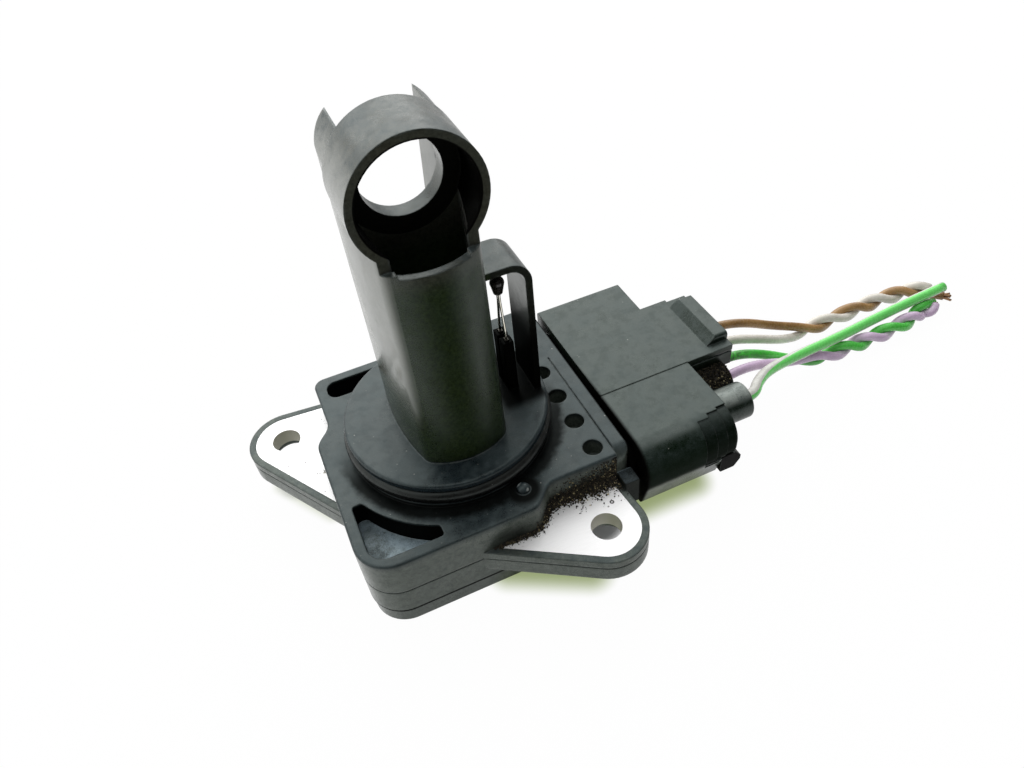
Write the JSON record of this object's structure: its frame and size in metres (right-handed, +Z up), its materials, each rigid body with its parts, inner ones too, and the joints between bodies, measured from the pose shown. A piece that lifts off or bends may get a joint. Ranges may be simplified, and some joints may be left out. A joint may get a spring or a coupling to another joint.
{
  "type": "mass airflow sensor",
  "caption": "Plug-in airflow meter for an engine intake duct: flanged base with a sealed round spigot, a probe tower with a ring inlet, and a harness plug with cut wires.",
  "frame": {"origin": "probe axis where it meets the top face of the base, round which the spigot stands", "axes": "+Z up the probe into the duct, +X towards the harness plug, +Y along the flow from ring inlet to outlet slot"},
  "size_m": [0.1429, 0.0558, 0.0746],
  "materials": {
    "housing_plastic": "satin moulded glass-filled plastic",
    "cover_plastic": "plain moulded plastic",
    "plug_plastic": "satin moulded plastic, dusty",
    "retainer_plastic": "smooth moulded plastic",
    "plate_aluminium": "as stamped",
    "seal_rubber": "smooth moulded rubber",
    "inner_rubber": "smooth moulded rubber",
    "board_laminate": "coated circuit board",
    "chip_plastic": "moulded package",
    "capacitor_ceramic": "fired ceramic",
    "plated_pins": "tin plated",
    "plated_leads": "drawn and tinned",
    "element_glass": "glass coated",
    "bead_glass": "dark glass drop",
    "brown_insulation": "extruded",
    "grey_insulation": "extruded",
    "green_insulation": "extruded",
    "violet_insulation": "extruded",
    "striped_insulation": "extruded, with one green stripe"
  },
  "bodies": {
    "root": {"sensor_housing": "housing_plastic", "mounting_plate": "plate_aluminium", "back_cover": "cover_plastic", "o_ring": "seal_rubber", "thermistor_bead": "bead_glass", "thermistor_leads": "plated_leads", "thermistor_posts": "plated_pins", "element_posts": "plated_pins", "hot_wire_element": "element_glass", "cold_wire_element": "element_glass", "circuit_board": "board_laminate", "control_chip": "chip_plastic", "board_capacitors": "capacitor_ceramic", "socket_pins": "plated_pins", "plug_housing": "plug_plastic", "terminal_retainer": "retainer_plastic", "plug_seal": "inner_rubber", "plug_terminals": "plated_pins", "wire_seals": "inner_rubber", "brown_wire": "brown_insulation", "grey_wire": "grey_insulation", "green_wire": "green_insulation", "violet_wire": "violet_insulation", "striped_wire": "striped_insulation"}
  },
  "joints": []
}
